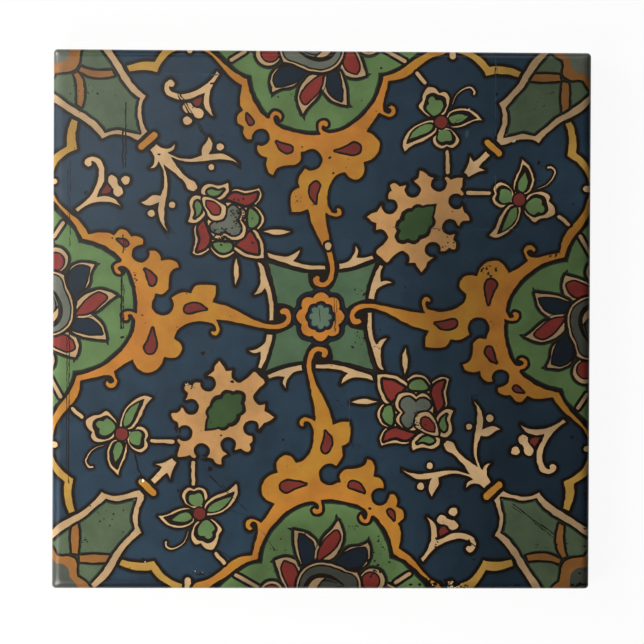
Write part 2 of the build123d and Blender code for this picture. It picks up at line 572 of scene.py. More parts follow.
def bud_flower(add):
    """Red and green flower between the sprig and the middle."""

    def each(paint, outline, line):
        for side in pair(outline, falling):
            add(paint, side, line)

    each("cream", [(-11.6, 17.0, C), (-9.0, 17.5), (-6.1, 17.1, C), (-8.4, 16.4), (-10.6, 16.7)], SPRIG)
    # Cream rim of the whole flower, then the blades inside it
    tip = [(-14.5, 18.0, C), (-12.8, 16.9), (-11.6, 14.3), (-11.5, 11.5, C)]
    inner_tip = [(-15.6, 15.6), (-14.7, 16.4), (-14.2, 16.9, C), (-12.9, 14.8), (-12.5, 12.5, C)]
    each(
        "cream",
        [(-18.9, 24.0), (-17.4, 25.4), (-15.2, 25.2), (-13.3, 25.5), (-12.4, 25.8, C), (-12.0, 24.3),
         (-13.3, 22.0, C), (-15.0, 21.2), (-17.5, 22.0)],
        LINE,
    )
    each(
        "cream",
        [(-15.2, 21.8), (-13.4, 22.0), (-11.9, 20.8), (-11.5, 19.2), (-12.7, 17.3), (-14.5, 16.8),
         (-15.6, 19.0)],
        LINE,
    )
    add("cream", both_sides([(-17.0, 17.0), *tip], falling), LINE)
    each(
        "red",
        [(-18.9, 23.5, C), (-17.4, 24.6), (-15.2, 24.2), (-12.8, 24.8, C), (-13.4, 23.2), (-15.0, 22.3),
         (-16.6, 22.7)],
        0.54,
    )
    each(
        "green",
        [(-14.3, 21.6), (-12.9, 20.7), (-12.5, 19.4), (-13.3, 17.9), (-14.2, 17.8), (-14.7, 19.6)],
        0.54,
    )
    add("red", both_sides(inner_tip, falling), 0.54)
    heart_rim = [
        (-20.5, 20.5), (-19.4, 22.6), (-17.8, 22.7), (-15.7, 21.6), (-15.15, 20.4), (-15.9, 19.2, C),
        (-15.0, 17.6), (-15.6, 15.6),
    ]
    heart = [
        (-19.5, 19.5), (-18.6, 21.5), (-17.6, 22.2), (-16.4, 21.0), (-16.4, 20.0), (-17.1, 19.2, C),
        (-16.1, 17.8), (-16.5, 16.5),
    ]
    add("cream", inset(both_sides(heart_rim, falling), 0.1), 0.48)
    add("grey", both_sides(heart, falling), 0.42)
    # Calyx: two green leaves and a red drop
    each(
        "cream",
        [(-23.9, 24.2), (-24.0, 25.4), (-22.7, 26.4), (-20.6, 26.1), (-18.7, 26.7, C), (-18.5, 25.0),
         (-20.0, 23.4), (-22.0, 23.2)],
        SPRIG,
    )
    each(
        "green",
        [(-22.9, 24.8), (-22.0, 25.35), (-20.6, 25.0), (-19.5, 25.3, C), (-20.6, 24.2), (-21.8, 23.95)],
        0.46,
    )
    add("cream", both_sides([(-23.7, 23.7), (-20.5, 22.9), (-19.1, 21.7), (-19.5, 19.5)], falling), 0.4)
    add("red", both_sides([(-22.9, 22.9, C), (-21.6, 22.7), (-20.3, 21.6), (-20.4, 20.4)], falling), THIN)


def gear(add):
    """Tan rosette with scalloped teeth and a green leaf."""
    half = [
        (12.0, 12.0), (11.0, 13.2), (12.4, 14.7), (13.3, 16.2), (12.4, 17.55), (10.9, 17.5, C),
        (11.0, 18.9, C), (9.9, 19.4), (9.0, 20.2, C), (9.9, 21.0), (11.1, 21.4, C), (12.1, 22.8, C),
        *arc(13.65, 22.4, 1.52, 195, 460), (13.4, 25.1), (14.0, 25.6, C), (13.7, 26.8), (14.6, 27.25),
        (15.6, 26.5, C), (17.0, 26.9, C), *arc(18.25, 25.8, 1.52, 150, 435), (18.4, 27.7, C),
        (19.4, 28.4), (19.6, 29.7), (20.6, 29.5), (21.3, 28.65, C), (22.7, 28.3, C),
        *arc(23.5, 27.05, 1.52, 130, 405), (25.0, 28.55), (25.9, 27.9, C), (27.0, 28.3), (28.3, 28.3, C),
    ]
    add("tan", both_sides(half, rising), SPRIG)
    ring = [
        (23.1, 23.1, C), (21.7, 22.95), (20.85, 22.8), (20.3, 22.6, C), (19.55, 22.95), (18.8, 22.8),
        (18.3, 22.45), (18.0, 22.1, C), (17.4, 22.05), (16.7, 21.75), (16.1, 21.15), (15.87, 20.5),
        (15.7, 19.95, C), (15.15, 19.55), (14.75, 18.95), (14.72, 18.25), (15.1, 17.4, C), (14.83, 16.8),
        (14.8, 16.15), (15.2, 15.2),
    ]
    blade = [
        (22.5, 22.5, C), (21.4, 22.42), (20.75, 22.25), (20.15, 22.0, C), (19.6, 22.25), (18.95, 22.15),
        (18.5, 21.75), (18.3, 21.4, C), (17.7, 21.35), (17.05, 20.95), (16.75, 20.4), (16.72, 19.6, C),
        (16.1, 19.35), (15.6, 18.85), (15.55, 18.2), (16.0, 17.5, C), (15.75, 16.9), (15.6, 16.2),
        (15.75, 15.75),
    ]
    add("line", both_sides(ring, rising), 0)
    add("gear_leaf", both_sides(blade, rising), 0)
    for rod in pair([(25.15, 33.6), (25.25, 29.4)], rising):
        add("cream", ribbon(rod, [0.75, 0.85]), LINE)
    arrow = [
        (33.3, 33.3), (32.9, 33.7, C), (31.0, 31.9), (30.4, 31.5, C), (29.7, 32.8, C), (29.5, 31.4),
        (28.5, 29.4, C), (29.0, 29.0),
    ]
    add("cream", both_sides(arrow, rising), SPRIG)


def thorn_bands(add):
    """Cream bands with thorns round the middle field."""
    add(
        "cream",
        [(-10.7, 12.7, C), (-8.6, 12.2), (-6.4, 12.2), (-4.2, 13.4, C), (-4.6, 12.2), (-5.6, 11.2, C),
         (-2.8, 10.4), (0.9, 10.3, C), (0.9, 9.4, C), (-2.8, 9.5), (-7.0, 10.6), (-10.4, 11.9)],
        SPRIG,
    )
    add(
        "cream",
        [(3.6, 10.8, C), (5.5, 11.3), (6.6, 12.9), (6.9, 14.4, C), (7.4, 13.3), (7.1, 12.0, C),
         (8.6, 12.0), (10.2, 12.4, C), (10.5, 11.8, C), (7.2, 10.4), (3.7, 9.6, C)],
        SPRIG,
    )


def middle_field():
    """Green field in the middle, one closed outline."""
    top = [
        (-10.6, 10.6, C), (-7.0, 9.6), (-3.4, 8.8), (0.0, 8.7), (3.8, 8.9), (6.4, 9.4), (9.6, 10.4),
        (11.0, 11.0, C),
    ]
    right = [rising(p) for p in reversed(top)]
    bottom = [(-p[0], -p[1], *p[2:]) for p in top]
    left = [falling(p) for p in reversed(top)]
    return top[:-1] + right[:-1] + bottom[:-1] + left[:-1]


def lobed(radius, swell, count=8):
    """Outline of a rosette: round lobes that meet in notches."""
    a = np.linspace(0, 2 * math.pi, 161)[:-1]
    r = radius + swell * np.abs(np.cos(count * a / 2)) ** 0.8
    return np.stack([r * np.cos(a), r * np.sin(a)], 1)


def quarter_turns():
    """The four copies of a quarter: the drawing is mirrored in both diagonals."""
    return {
        "top": lambda p: p,
        "left": lambda p: np.stack([-p[:, 1], -p[:, 0]], 1),
        "right": lambda p: np.stack([p[:, 1], p[:, 0]], 1),
        "bottom": lambda p: -p,
    }


def layers():
    """The whole drawing in painting order: paint, outline and line width."""
    out = []
    copies = quarter_turns()

    def adder(names):
        def add(paint, outline, line):
            shape = outline if isinstance(outline, np.ndarray) else smooth(outline)
            for name in names:
                out.append((paint, copies[name](shape), line))
        return add

    once = adder(["top"])
    twice = adder(["top", "bottom"])
    four = adder(["top", "left", "right", "bottom"])
    once("field", middle_field(), ROUND_FIELD)
    thorn_bands(four)
    four("line", [(-2.2, 9.2), (-2.6, 7.8), (-1.6, 5.4), (0.0, 5.0), (1.7, 5.3), (3.1, 7.4), (3.4, 9.0)], 0)
    edge_bands(four)
    four("green", inset(palmette_field(), -0.22), BESIDE_OCHRE)
    four("ochre", cartouche(), LINE)
    for drop in cartouche_drops():
        four("maroon", drop, 0.38)
    palmette(four)
    corner_leaf_upper_left(twice)
    corner_leaf_upper_right(twice)
    lily(four)
    butterfly_flower(four)
    three_stem_sprig(twice)
    bud_flower(twice)
    gear(twice)
    once("ochre", lobed(4.1, 0.85), (("line", 0.4), ("navy", 0.35), ("line", 0.25)))
    once("line", lobed(2.8, 0.36), 0)
    once("star", lobed(1.76, 0.64), (("navy", 0.35),))
    return out


# How the drawing lies on the tile: each quarter of the transfer was laid a little off
# A quarter's way from the middle, its shift in millimetres and its slip for each millimetre along x and y
QUARTERS = (
    ((0.0, 1.0), (0.012, 0.062), (-0.0008, -0.0018, -0.0055, -0.0090)),
    ((-1.0, 0.0), (0.0, 0.033), (-0.0038, -0.0005, -0.0033, 0.0028)),
    ((1.0, 0.0), (-0.162, -0.012), (0.0038, -0.0035, 0.0015, -0.0026)),
    ((0.0, -1.0), (-0.05, -0.075), (-0.0003, -0.0002, 0.0018, -0.0010)),
)
# Then the whole drawing is stretched, turned in degrees and moved in millimetres
STRETCH = (1.0064, 1.0005)
TURN = -0.165
SHIFT = (-0.34, 0.66)


def settle(points):
    """Moves the drawing onto the tile, with the small slips of its four quarters."""
    x, y = points[:, 0], points[:, 1]
    span = np.maximum(np.hypot(x, y), 1e-6)
    total = np.full(len(points), 1e-9)
    moved = np.zeros_like(points)
    for way, shift, (xx, xy, yx, yy) in QUARTERS:
        weight = np.maximum((x * way[0] + y * way[1]) / span, 0.0) ** 4 + 1e-4
        total += weight
        moved += weight[:, None] * np.stack(
            [x + shift[0] + xx * x + xy * y, y + shift[1] + yx * x + yy * y], 1
        )
    moved /= total[:, None]
    x, y = (moved * np.array(STRETCH)).T
    turn = math.radians(TURN)
    c, s = math.cos(turn), math.sin(turn)
    return np.stack([c * x - s * y, s * x + c * y], 1) + np.array(SHIFT)


# Wear of this tile, in millimetres from its middle


def hairline(start, end, seed, width=0.14, kept=0.75):
    """Pieces of a broken scratch from one point to another."""
    random = np.random.default_rng(seed)
    a, b = np.array(start, float), np.array(end, float)
    length = np.hypot(*(b - a))
    side = np.array([a[1] - b[1], b[0] - a[0]]) / length
    out, at = [], 0.0
    while at < length - 0.3:
        run = min(random.uniform(0.8, 3.2), length - at)
        if random.random() < kept:
            steps = np.linspace(at, at + run, 4)
            path = [a + (b - a) * t / length + side * random.normal(0, 0.03) for t in steps]
            out.append(ribbon([tuple(p) for p in path], width * random.uniform(0.5, 1.2, 4)))
        at += run if kept == 1.0 else run + random.uniform(0.1, 0.7)
    return out


def flecks(centre, spread, count, size, seed):
    """Ragged little marks gathered round a point."""
    random = np.random.default_rng(seed)
    out = []
    for _ in range(count):
        at = np.array(centre) + random.normal(0, 0.5, 2) * spread
        angles = np.linspace(0, 2 * math.pi, 8)[:-1] + random.uniform(-0.3, 0.3, 7)
        radii = size * random.uniform(0.7, 1.6) * random.uniform(0.5, 1.1, 7)
        squash = random.uniform(0.5, 1.0)
        out.append(at + np.stack([radii * np.cos(angles), radii * squash * np.sin(angles)], 1))
    return out


def wear():
    """Scratches, pits and chips: paint and outline."""
    out = []
    # Scratches: start, end, width and the share of the length that shows
    dark_lines = [
        ((-40.1, 38.0), (-40.1, 30.2), 0.32, 1.0), ((-39.55, 43.2), (-39.55, 30.4), 0.3, 1.0),
        ((-40.0, 16.8), (-39.9, 13.3), 0.26, 0.9), ((-39.6, 16.2), (-39.55, 13.8), 0.2, 0.8),
        ((-40.25, 9.4), (-40.3, -1.8), 0.42, 1.0), ((-39.8, 9.4), (-39.85, -1.8), 0.24, 0.9),
        ((-50.6, 31.5), (-50.6, 14.5), 0.18, 0.9), ((-51.05, 30.0), (-51.05, 20.0), 0.15, 0.9),
        ((-50.65, -2.0), (-50.7, -33.0), 0.22, 1.0), ((-51.1, -3.0), (-51.15, -30.0), 0.18, 1.0),
        ((-29.25, 45.0), (-23.85, 36.9), 0.32, 1.0), ((-28.65, 45.0), (-23.25, 36.6), 0.28, 1.0),
        ((-37.6, -26.6), (-36.6, -30.4), 0.4, 1.0), ((-36.8, -30.0), (-35.9, -32.3), 0.4, 0.95),
        ((-22.6, -31.3), (-14.1, -39.1), 0.22, 0.6), ((-22.0, -31.2), (-18.6, -34.4), 0.2, 0.6),
        ((-12.2, -42.1), (-8.9, -46.9), 0.2, 0.6), ((-20.3, -46.4), (-17.6, -48.2), 0.26, 0.9),
        ((-20.6, -46.9), (-18.0, -48.6), 0.26, 0.9), ((38.6, -36.8), (43.0, -40.4), 0.24, 1.0),
        ((43.0, -40.4), (47.0, -42.9), 0.24, 1.0), ((38.4, -37.4), (46.6, -43.4), 0.2, 0.9),
        ((2.35, 4.4), (2.5, -2.4), 0.14, 0.7), ((2.8, 4.0), (2.9, -2.0), 0.12, 0.6),
        ((-0.55, 2.4), (-0.5, -1.8), 0.16, 0.8), ((34.5, 50.8), (34.5, 48.8), 0.14, 1.0),
        ((34.9, 50.8), (34.9, 48.8), 0.1, 1.0), ((29.6, -44.2), (31.0, -45.4), 0.35, 1.0),
        ((-20.9, -37.4), (-14.0, -39.6), 0.1, 0.3),
    ]
    pale_lines = [
        ((-32.0, 49.1), (-20.5, 49.0), 0.2, 0.8), ((34.6, 53.4), (34.7, 24.0), 0.16, 0.7),
        ((5.4, -14.0), (5.6, -27.0), 0.14, 0.6), ((14.0, 18.6), (44.0, 18.2), 0.14, 0.35),
        ((2.6, 4.2), (2.65, -2.2), 0.16, 0.5), ((-12.6, -42.0), (-11.4, -43.2), 0.12, 0.8),
    ]
    for paint, listed, seed in (("line", dark_lines, 100), ("pale", pale_lines, 200)):
        for i, (start, end, width, kept) in enumerate(listed):
            out += [(paint, piece) for piece in hairline(start, end, seed + i, width, kept)]
    # Pits: place and size
    spots = [
        (-22.3, 47.2, 0.32), (-32.9, 33.0, 0.3), (-47.5, 25.3, 0.4), (-14.1, 15.4, 0.28),
        (-13.7, 24.5, 0.2), (-42.2, 16.3, 0.22), (-4.2, 34.6, 0.24), (-36.2, 0.8, 0.28),
        (11.5, 50.6, 0.25), (7.7, 44.0, 0.2), (6.55, 6.1, 0.26), (40.4, 46.7, 0.24), (50.3, 23.6, 0.26),
        (-23.9, -6.8, 0.36), (-7.75, -24.0, 0.26), (-22.5, -29.8, 0.4), (-18.0, -12.5, 0.26),
        (-20.2, -23.2, 0.22), (30.7, -48.0, 0.28), (52.1, -50.8, 0.3), (2.0, 29.5, 0.22),
        (1.4, 32.5, 0.22), (9.6, -38.0, 0.3), (-35.6, -48.2, 0.45), (34.9, 45.4, 0.22),
        (-40.1, -3.6, 0.35), (-6.8, 46.5, 0.28), (-28.8, -34.3, 0.2), (23.4, 18.2, 0.2),
        (26.0, 22.0, 0.2), (-45.3, 45.1, 0.3),
    ]
    for i, (x, y, size) in enumerate(spots):
        out += [("line", mark) for mark in flecks((x, y), (0.1, 0.1), 2, size, 300 + i)]
    # Worn and chipped places: place, width and height, number of marks and their size
    worn = [
        (-5.0, 24.4, 1.2, 0.9, 7, 0.16), (33.0, 10.2, 2.6, 1.6, 16, 0.26),
        (25.4, 14.8, 1.8, 1.6, 14, 0.2), (47.0, 13.3, 2.6, 0.8, 8, 0.24), (43.6, 31.0, 0.7, 1.8, 6, 0.3),
        (8.6, 5.6, 1.0, 1.0, 7, 0.22), (-26.6, -13.2, 1.2, 1.0, 8, 0.2),
        (-24.7, -50.9, 2.4, 1.4, 16, 0.2), (18.3, -8.0, 0.7, 1.0, 6, 0.16),
        (32.6, -12.6, 0.8, 0.6, 5, 0.2), (25.0, -53.3, 6.0, 0.5, 30, 0.34),
        (21.5, -52.6, 1.6, 1.0, 8, 0.26), (53.3, -39.0, 0.3, 8.0, 16, 0.3),
        (52.0, -53.3, 2.6, 0.5, 12, 0.34), (36.0, -53.4, 7.0, 0.3, 14, 0.26),
        (7.0, -4.5, 3.0, 3.0, 14, 0.2), (-2.0, 23.4, 0.5, 0.5, 3, 0.14),
        (-44.0, -39.0, 5.0, 4.0, 12, 0.2), (-47.5, -44.2, 0.9, 0.8, 5, 0.26),
        (45.0, -45.4, 4.0, 1.0, 8, 0.2), (-37.4, 8.0, 1.0, 3.0, 8, 0.2), (23.4, -46.0, 2.0, 4.0, 8, 0.2),
        (-8.4, -44.0, 5.0, 4.0, 10, 0.18), (50.1, -23.5, 0.6, 0.5, 4, 0.18),
        (-18.0, 43.0, 2.0, 2.0, 4, 0.12), (-10.3, 45.3, 1.4, 2.0, 7, 0.22),
        (3.6, -18.0, 3.0, 3.0, 6, 0.2), (11.0, -4.0, 1.0, 3.0, 8, 0.2), (-16.9, 20.9, 1.8, 2.2, 60, 0.22),
        (-20.6, 17.0, 2.2, 1.8, 50, 0.22), (19.5, -20.0, 2.4, 2.4, 22, 0.18),
        (16.2, 5.5, 1.6, 1.0, 3, 0.2), (28.0, 40.2, 2.4, 1.2, 9, 0.16), (6.2, -25.4, 1.2, 0.5, 8, 0.15),
        (35.4, -12.6, 0.9, 0.4, 5, 0.16), (6.5, -41.7, 1.4, 0.8, 6, 0.18),
        (11.6, -45.8, 1.4, 3.2, 12, 0.2), (10.8, -49.8, 2.4, 1.8, 14, 0.28),
        (25.6, -52.7, 2.6, 0.8, 14, 0.36), (-5.5, 44.6, 1.4, 1.4, 8, 0.16),
        (-46.2, 45.6, 4.0, 4.0, 14, 0.16), (45.4, 44.0, 4.0, 4.0, 10, 0.14),
    ]
    chips = [
        (26.4, -53.4, 3.4, 0.4, 8, 0.2), (-24.6, -50.6, 1.4, 0.8, 2, 0.12),
        (-26.9, -13.0, 0.7, 0.5, 3, 0.16), (-35.85, -32.35, 0.05, 0.05, 1, 0.46),
        (38.6, 36.2, 0.5, 0.2, 2, 0.18), (-35.4, -48.6, 0.05, 0.05, 1, 0.16),
        (29.2, 42.5, 1.2, 0.4, 4, 0.12),
    ]
    for paint, listed, share, seed in (("line", worn, 1.0, 400), ("white", chips, 0.7, 500)):
        for i, (x, y, wide, tall, count, size) in enumerate(listed):
            marks = flecks((x, y), (wide, tall), count, share * size, seed + i)
            out += [(paint, mark) for mark in marks]
    out.append(("pale", smooth([(28.6, 38.1, C), (29.2, 38.3), (29.3, 37.6), (28.9, 36.6, C), (28.5, 37.0)])))
    bead = [(0.55, 15.3), (1.3, 15.6), (1.7, 15.0), (1.5, 14.2), (0.9, 14.0), (0.5, 14.5)]
    out.append(("line", smooth([(1.05 + 1.7 * (x - 1.05), 14.8 + 1.6 * (y - 14.8)) for x, y in bead])))
    out.append(("cream", smooth(bead)))
    return out


# Measuring outlines


def counter_clockwise(outline):
    """The outline in counter-clockwise order, without doubled points."""
    keep = np.hypot(*(outline - np.roll(outline, 1, axis=0)).T) > 1e-4
    p = outline[keep]
    q = np.roll(p, -1, axis=0)
    area = np.sum(p[:, 0] * q[:, 1] - q[:, 0] * p[:, 1])
    return p if area > 0 else p[::-1]


def inside(outline, points):
    """Which points lie inside the outline."""
    a, b = outline, np.roll(outline, -1, axis=0)
    hit = np.zeros(len(points), bool)
    for part in np.array_split(np.arange(len(points)), max(1, len(points) * len(a) // AT_ONCE)):
        px, py = points[part, 0][:, None], points[part, 1][:, None]
        crosses = (a[:, 1] > py) != (b[:, 1] > py)
        rise = np.where(b[:, 1] == a[:, 1], 1e-12, b[:, 1] - a[:, 1])
        at = a[:, 0] + (py - a[:, 1]) * (b[:, 0] - a[:, 0]) / rise
        hit[part] = np.sum(crosses & (px < at), axis=1) % 2 == 1
    return hit


def distance(outline, points):
    """Distance of each point from the outline."""
    a = outline
    way = np.roll(outline, -1, axis=0) - a
    square = np.maximum(np.sum(way**2, axis=1), 1e-12)
    out = np.zeros(len(points))
    for part in np.array_split(np.arange(len(points)), max(1, len(points) * len(a) // AT_ONCE)):
        gap = points[part][:, None, :] - a[None]
        t = np.clip(np.sum(gap * way, axis=2) / square, 0, 1)
        out[part] = np.sqrt(np.min(np.sum((gap - t[..., None] * way) ** 2, axis=2), axis=1))
    return out


def draw_in(outline, depth):
    """A counter-clockwise outline moved inwards."""
    before = outline - np.roll(outline, 1, axis=0)
    after = np.roll(outline, -1, axis=0) - outline
    way = before / np.hypot(*before.T)[:, None] + after / np.hypot(*after.T)[:, None]
    way /= np.maximum(np.hypot(*way.T), 0.3)[:, None]
    return outline + depth * np.stack([-way[:, 1], way[:, 0]], 1)


def inset(points, depth):
    """A smooth outline drawn in by a depth."""
    return draw_in(counter_clockwise(smooth(points)), depth)


def line_edge(outline, width):
    """Runs of points along the outer edge of a line of this width round the outline."""
    before = outline - np.roll(outline, 1, axis=0)
    after = np.roll(outline, -1, axis=0) - outline
    into = np.arctan2(-before[:, 0], before[:, 1])
    turn = (np.arctan2(-after[:, 0], after[:, 1]) - into + math.pi) % (2 * math.pi) - math.pi
    points = []
    for p, angle, bend in zip(outline, into, turn):
        fan = max(1, int(abs(bend) / math.radians(25))) if bend > math.radians(25) else 0
        for i in range(fan + 1):
            a = angle + bend * (i / fan if fan else 0.5)
            points.append(p + width * np.array([math.cos(a), math.sin(a)]))
    points = np.array(points)
    free = (distance(outline, points) > 0.97 * width) & ~inside(outline, points)
    runs, run = [], []
    for point, good in zip(np.vstack([points, points[:1]]), np.r_[free, free[:1]]):
        if good:
            run.append(point)
        elif run:
            runs.append(run)
            run = []
    if run:
        runs.append(run)
    return runs


# The tile


def level(points, half):
    """How far in from the side each point lies, by the rounded square through it."""
    a = np.max(np.abs(points), axis=1)
    b = np.min(np.abs(points), axis=1)
    near = np.maximum(2 * CORNER_RADIUS**2 - (a - b) ** 2, 0)
    corner = (a + b - np.sqrt(near)) / 2 + CORNER_RADIUS
    return half - np.where(a - b >= CORNER_RADIUS, a, corner)


def rounded_square(half, radius, step):
    """Outline of a square with rounded corners, counter-clockwise."""
    out = []
    flat = max(1, round(2 * (half - radius) / step))
    for quarter in range(4):
        turn = math.pi / 2 * quarter
        c, s = math.cos(turn), math.sin(turn)
        side = [(half, (half - radius) * (2 * i / flat - 1)) for i in range(flat)]
        for i in range(5):
            a = math.radians(90 * i / 5)
            side.append((half - radius + radius * math.cos(a), half - radius + radius * math.sin(a)))
        out += [(c * x - s * y, s * x + c * y) for x, y in side]
    return np.array(out)


def turned_over(xy, triangles):
    """Which triangles run clockwise."""
    a, b, c = xy[triangles[:, 0]], xy[triangles[:, 1]], xy[triangles[:, 2]]
    return (b[:, 0] - a[:, 0]) * (c[:, 1] - a[:, 1]) < (b[:, 1] - a[:, 1]) * (c[:, 0] - a[:, 0])


def triangulate(loops, points=()):
    """Triangles of the plane with every loop or run kept as edges."""
    coords, edges = [], []
    for loop, closed in loops:
        first = len(coords)
        coords += [Vector((float(x), float(y))) for x, y in loop]
        count = len(loop)
        edges += [(first + i, first + (i + 1) % count) for i in range(count if closed else count - 1)]
    coords += [Vector((float(x), float(y))) for x, y in points]
    made = delaunay_2d_cdt(coords, edges, [], 0, 1e-3)
    xy = np.array([tuple(v) for v in made[0]])
    triangles = np.array(made[2])
    over = turned_over(xy, triangles)
    triangles[over] = triangles[over][:, ::-1]
    return xy, triangles


def rim_loop(triangles):
    """The points round the edge of a patch of triangles, in order."""
    edges = {}
    for tri in triangles:
        for i in range(3):
            edges[(int(tri[i]), int(tri[(i + 1) % 3]))] = True
    following = {a: b for a, b in edges if (b, a) not in edges}
    start = next(iter(following))
    loop = [start]
    while following[loop[-1]] != start:
        loop.append(following[loop[-1]])
    return loop


def bands(paint, line):
    """Bands of a line, from the enamel outwards: the outer edge of each and its paint."""
    if not line:
        return []
    listed = list(line) if isinstance(line, tuple) else [("line", line), ("deep_ground", POOL)]
    edge = COVERED.get(paint, 0.05)
    out = []
    for band_paint, width in listed:
        edge += width
        out.append((edge, PAINTS.index(band_paint)))
    return out


def waver(xy, half):
    """Small unsteadiness of the brush: smooth sideways slips, none at the tile's sides."""
    random = np.random.default_rng(11)
    moved = np.zeros_like(xy)
    for length, size in ((0.8, 0.012), (1.1, 0.014), (1.6, 0.018), (2.4, 0.022), (4.0, 0.03)):
        for _ in range(3):
            heading = random.uniform(0, 2 * math.pi)
            wave = 2 * math.pi / length * np.array([math.cos(heading), math.sin(heading)])
            phase = xy @ wave + random.uniform(0, 2 * math.pi)
            aside = random.uniform(0, 2 * math.pi)
            moved += size * np.sin(phase)[:, None] * np.array([math.cos(aside), math.sin(aside)])
    fade = np.clip((level(xy, half) - CUSHION_WIDTH) / 1.5, 0, 1)
    return xy + moved * fade[:, None]


def painted_face(half, thickness):
    """The glazed face: points in millimetres, triangles and the paint of each."""
    cells = []
    for paint, outline, line in layers():
        laid = counter_clockwise(settle(outline))
        cells.append((paint, draw_in(laid, COVERED.get(paint, 0.05)) if line else laid, bands(paint, line)))
    for paint, outline in wear():
        cells.append((paint, counter_clockwise(outline), []))
    loops = [(rounded_square(half, CORNER_RADIUS, 1.2), True)]
    for turn in (22.5, 38, 52, 66, 78, 90):
        fall = CUSHION_WIDTH * (1 - math.cos(math.radians(turn)))
        loops.append((rounded_square(half - fall, CORNER_RADIUS, 1.2), True))
    for paint, outline, lines in cells:
        loops.append((outline, True))
        for edge, band_paint in lines:
            loops += [(run, False) for run in line_edge(outline, edge)]
    grid = np.arange(-half + 2.4, half - 2.3, 1.6)
    spread = np.stack(np.meshgrid(grid, grid), -1).reshape(-1, 2)
    xy, triangles = triangulate(loops, spread)
    middle = xy[triangles].mean(axis=1)
    kept = level(middle, half) > 0
    triangles, middle = triangles[kept], middle[kept]
    ground, deep = PAINTS.index("ground"), PAINTS.index("deep_ground")
    paint_of = np.full(len(triangles), ground)
    for paint, outline, lines in cells:
        widest = lines[-1][0] if lines else 0.0
        low, high = outline.min(axis=0) - widest, outline.max(axis=0) + widest
        near = np.flatnonzero(np.all((middle >= low) & (middle <= high), axis=1))
        if not len(near):
            continue
        within = inside(outline, middle[near])
        outer = near[~within]
        away = distance(outline, middle[outer]) if lines else None
        for edge, band_paint in reversed(lines):
            covered = outer[away < edge]
            if band_paint == deep:
                covered = covered[paint_of[covered] == ground]
            paint_of[covered] = band_paint
        paint_of[near[within]] = PAINTS.index(paint)
    used, triangles = np.unique(triangles, return_inverse=True)
    triangles = triangles.reshape(-1, 3)
    xy = xy[used]
    rise = np.clip(1 - np.clip(level(xy, half), 0, None) / CUSHION_WIDTH, 0, 1)
    z = thickness - CUSHION_DROP + CUSHION_DROP * np.sqrt(1 - rise**2)
    # Where the brush would turn a thin triangle over, its points stay where they were
    brushed = waver(xy, half)
    for _ in range(5):
        held = np.unique(triangles[turned_over(brushed, triangles)])
        brushed[held] = xy[held]
    return np.column_stack([brushed, z]), triangles, paint_of


def keyed_back(ring):
    """The back plane with its pockets: points, faces that look down, and the outer ring's indices."""
    plane = [(ring, True)]
    mouths = []
    for i in range(KEYS_PER_SIDE):
        for j in range(KEYS_PER_SIDE):
            at = np.array([i, j]) - (KEYS_PER_SIDE - 1) / 2
            mouths.append(rounded_square(KEY_SIZE / 2, KEY_CORNER, KEY_SIZE) + at * KEY_PITCH)
    plane += [(mouth, True) for mouth in mouths]
    xy, triangles = triangulate(plane)
    middle = xy[triangles].mean(axis=1)
    solid = inside(ring, middle)
    for mouth in mouths:
        solid &= ~inside(mouth, middle)
    points = [(x, y, 0.0) for x, y in xy]
    faces = [tuple(int(i) for i in tri[::-1]) for tri in triangles[solid]]
    lean = KEY_DEPTH * math.tan(math.radians(KEY_DRAFT))
    floor_shape = rounded_square(KEY_SIZE / 2 - lean, KEY_CORNER - lean, KEY_SIZE)
    for mouth in mouths:
        rim = [int(np.argmin(np.hypot(*(xy - p).T))) for p in mouth]
        first = len(points)
        points += [(x, y, KEY_DEPTH) for x, y in floor_shape + mouth.mean(axis=0)]
        count = len(rim)
        for k in range(count):
            nxt = (k + 1) % count
            faces.append((rim[k], rim[nxt], first + nxt, first + k))
        faces.append(tuple(first + k for k in range(count))[::-1])
    outer = [int(np.argmin(np.hypot(*(xy - p).T))) for p in ring]
    return points, faces, outer


def draw_in_foot(xy, half):
    """The outline of the back plane, drawn in from the outline of the sides."""
    straight = half - CORNER_RADIUS
    scaled = xy * (straight - FOOT_SETBACK) / straight
    shifted = xy - FOOT_SETBACK * np.sign(xy)
    return np.where(np.abs(xy) <= straight + 1e-6, scaled, shifted)


def lightness(points):
    """How far the ochre has turned from orange towards yellow at each point."""
    x, y = np.abs(points[:, 0]), np.abs(points[:, 1])
    along, across = np.maximum(x, y), np.minimum(x, y)
    from_palmette = np.clip((np.hypot(across, along - 47.0) - 11.0) / 6.0, 0, 1)
    from_middle = np.clip((np.hypot(x, y) - 8.0) / 7.0, 0, 1)
    return from_palmette * from_middle


def ramp(value, start, end):
    """Smooth step from 0 at the start to 1 at the end."""
    t = np.clip((value - start) / (end - start), 0, 1)
    return t * t * (3 - 2 * t)


def enamel_shading_and_darkening(points):
    """How much darker the enamels are painted: painted shade over the right half and the lower right, and
    darker in the bottom palmette and the lower left rosette.
    """
    x, y = points[:, 0], points[:, 1]
    # Painted shade on the right: right palmette, right corners, lower right, right rosette and right
    # scrollwork
    right = 0.42 * ramp(x, 31, 43) * (1 - ramp(np.abs(y), 17, 24))
    corners = 0.3 * ramp(x, 30, 40) * ramp(np.abs(y), 33, 40)
    bottom = 0.34 * (1 - ramp(np.hypot(x, y + 56), 14, 19))
    lower_right = 0.22 * ramp(x - y, 60, 95)
    rosette = 0.3 * ramp(x, 12, 25) * (1 - ramp(np.hypot(x - 21, y - 23), 10, 15))
    lower_rosette = 0.13 * (1 - ramp(np.hypot(x + 21, y + 23), 10, 15))
    scroll = 0.38 * ramp(x, 12, 24) * (1 - ramp(np.abs(y), 20, 27))
    return np.max([right, corners, bottom, lower_right, rosette, lower_rosette, scroll], axis=0)


